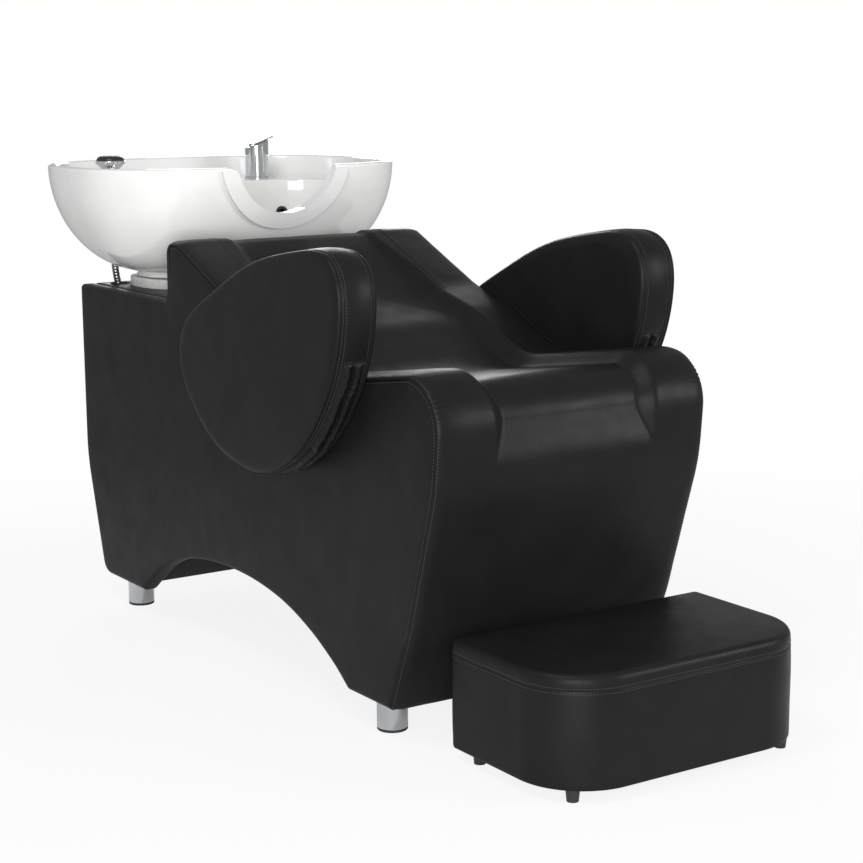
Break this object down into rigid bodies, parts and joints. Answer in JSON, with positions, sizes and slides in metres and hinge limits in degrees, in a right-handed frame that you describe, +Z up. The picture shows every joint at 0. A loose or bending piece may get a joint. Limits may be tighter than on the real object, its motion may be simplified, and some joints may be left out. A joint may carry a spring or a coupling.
{
  "type": "salon backwash unit",
  "caption": "Salon backwash unit: upholstered seat on chrome legs with teardrop armrests, a tilting white basin with mixer and hand shower, and a loose footstool.",
  "frame": {"origin": "on the floor, at the middle of the footprint of the whole set; X = 0 is the middle of the seat", "axes": "+Z up, +Y from the footstool towards the basin, +X to the right of a person seen from the footstool looking at the basin"},
  "size_m": [0.6642, 1.6559, 0.9104],
  "materials": {
    "black_leather": "fine grain, semi-matt",
    "plywood": "plain",
    "black_board": "matt",
    "chrome": "polished",
    "steel": "zinc plated",
    "black_rubber": "matt",
    "white_ceramic": "gloss glaze",
    "white_plastic": "gloss",
    "black_plastic": "satin",
    "hose_metal": "ribbed"
  },
  "bodies": {
    "seat": {"armrest_board_left": "plywood", "armrest_board_right": "plywood", "armrest_bolts_left": "steel", "armrest_bolts_right": "steel", "armrest_pad_left": "black_leather", "armrest_pad_right": "black_leather", "back_board": "plywood", "basin_foot": "white_plastic", "corner_blocks": "plywood", "cover_battens": "plywood", "cross_rails": "plywood", "foot_pad_front_left": "black_rubber", "foot_pad_front_right": "black_rubber", "foot_pad_rear_left": "black_rubber", "foot_pad_rear_right": "black_rubber", "front_board": "plywood", "hinge_pin": "steel", "leg_bolts": "steel", "leg_front_left": "chrome", "leg_front_right": "chrome", "leg_rear_left": "chrome", "leg_rear_right": "chrome", "neck_beam": "plywood", "plumbing_partition": "black_board", "rear_cover": "black_board", "rear_cover_screws": "steel", "rear_shelf": "black_leather", "seat_back_cushion": "black_leather", "seat_board": "plywood", "shelf_grommets": "black_rubber", "side_panel_left": "black_leather", "side_panel_right": "black_leather", "stand_buffers": "black_rubber", "stand_plate": "steel", "stand_screws": "steel"},
    "basin": {"basin": "white_ceramic", "tilt_saddle": "steel", "drain_flange": "chrome", "drain_seal": "black_rubber", "drain_nut": "white_plastic", "drain_tailpiece": "white_plastic", "overflow_cap": "black_plastic", "mixer_body": "chrome", "mixer_nut": "steel", "mixer_tails": "steel", "mixer_cartridge": "white_plastic", "shower_ferrule": "chrome", "shower_hose": "hose_metal"},
    "mixer_cap": {"mixer_cap": "chrome"},
    "mixer_lever": {"mixer_lever": "chrome"},
    "hand_shower": {"shower_head": "chrome", "shower_face": "black_plastic"},
    "strainer": {"hair_strainer": "chrome"},
    "footstool": {"stool_board": "plywood", "stool_body": "black_leather", "stool_pad": "black_leather", "stool_foot_1": "black_plastic", "stool_foot_2": "black_plastic", "stool_foot_3": "black_plastic", "stool_foot_4": "black_plastic"}
  },
  "joints": [
    {"name": "basin_tilt", "type": "hinge", "parent": "seat", "child": "basin", "pos_m": [0, 0.642, 0.65], "axis": [-1, 0, 0], "range_deg": [0, 12], "deforming": ["shower_hose"]},
    {"name": "mixer_turn", "type": "hinge", "parent": "basin", "child": "mixer_cap", "pos_m": [0.159, 0.716, 0.87], "axis": [0, 0, 1], "range_deg": [-45, 45]},
    {"name": "lever_lift", "type": "hinge", "parent": "mixer_cap", "child": "mixer_lever", "pos_m": [0.145, 0.716, 0.88673], "axis": [0, -1, 0], "range_deg": [0, 25]},
    {"name": "shower_lift", "type": "slide", "parent": "basin", "child": "hand_shower", "axis": [0, 0, 1], "range_m": [0, 0.3], "deforming": ["shower_hose"]},
    {"name": "strainer_lift", "type": "slide", "parent": "basin", "child": "strainer", "axis": [0, 0, 1], "range_m": [0, 0.12]},
    {"name": "footstool_slide", "type": "slide", "parent": "seat", "child": "footstool", "axis": [0, -1, 0], "range_m": [0, 0.4]}
  ]
}
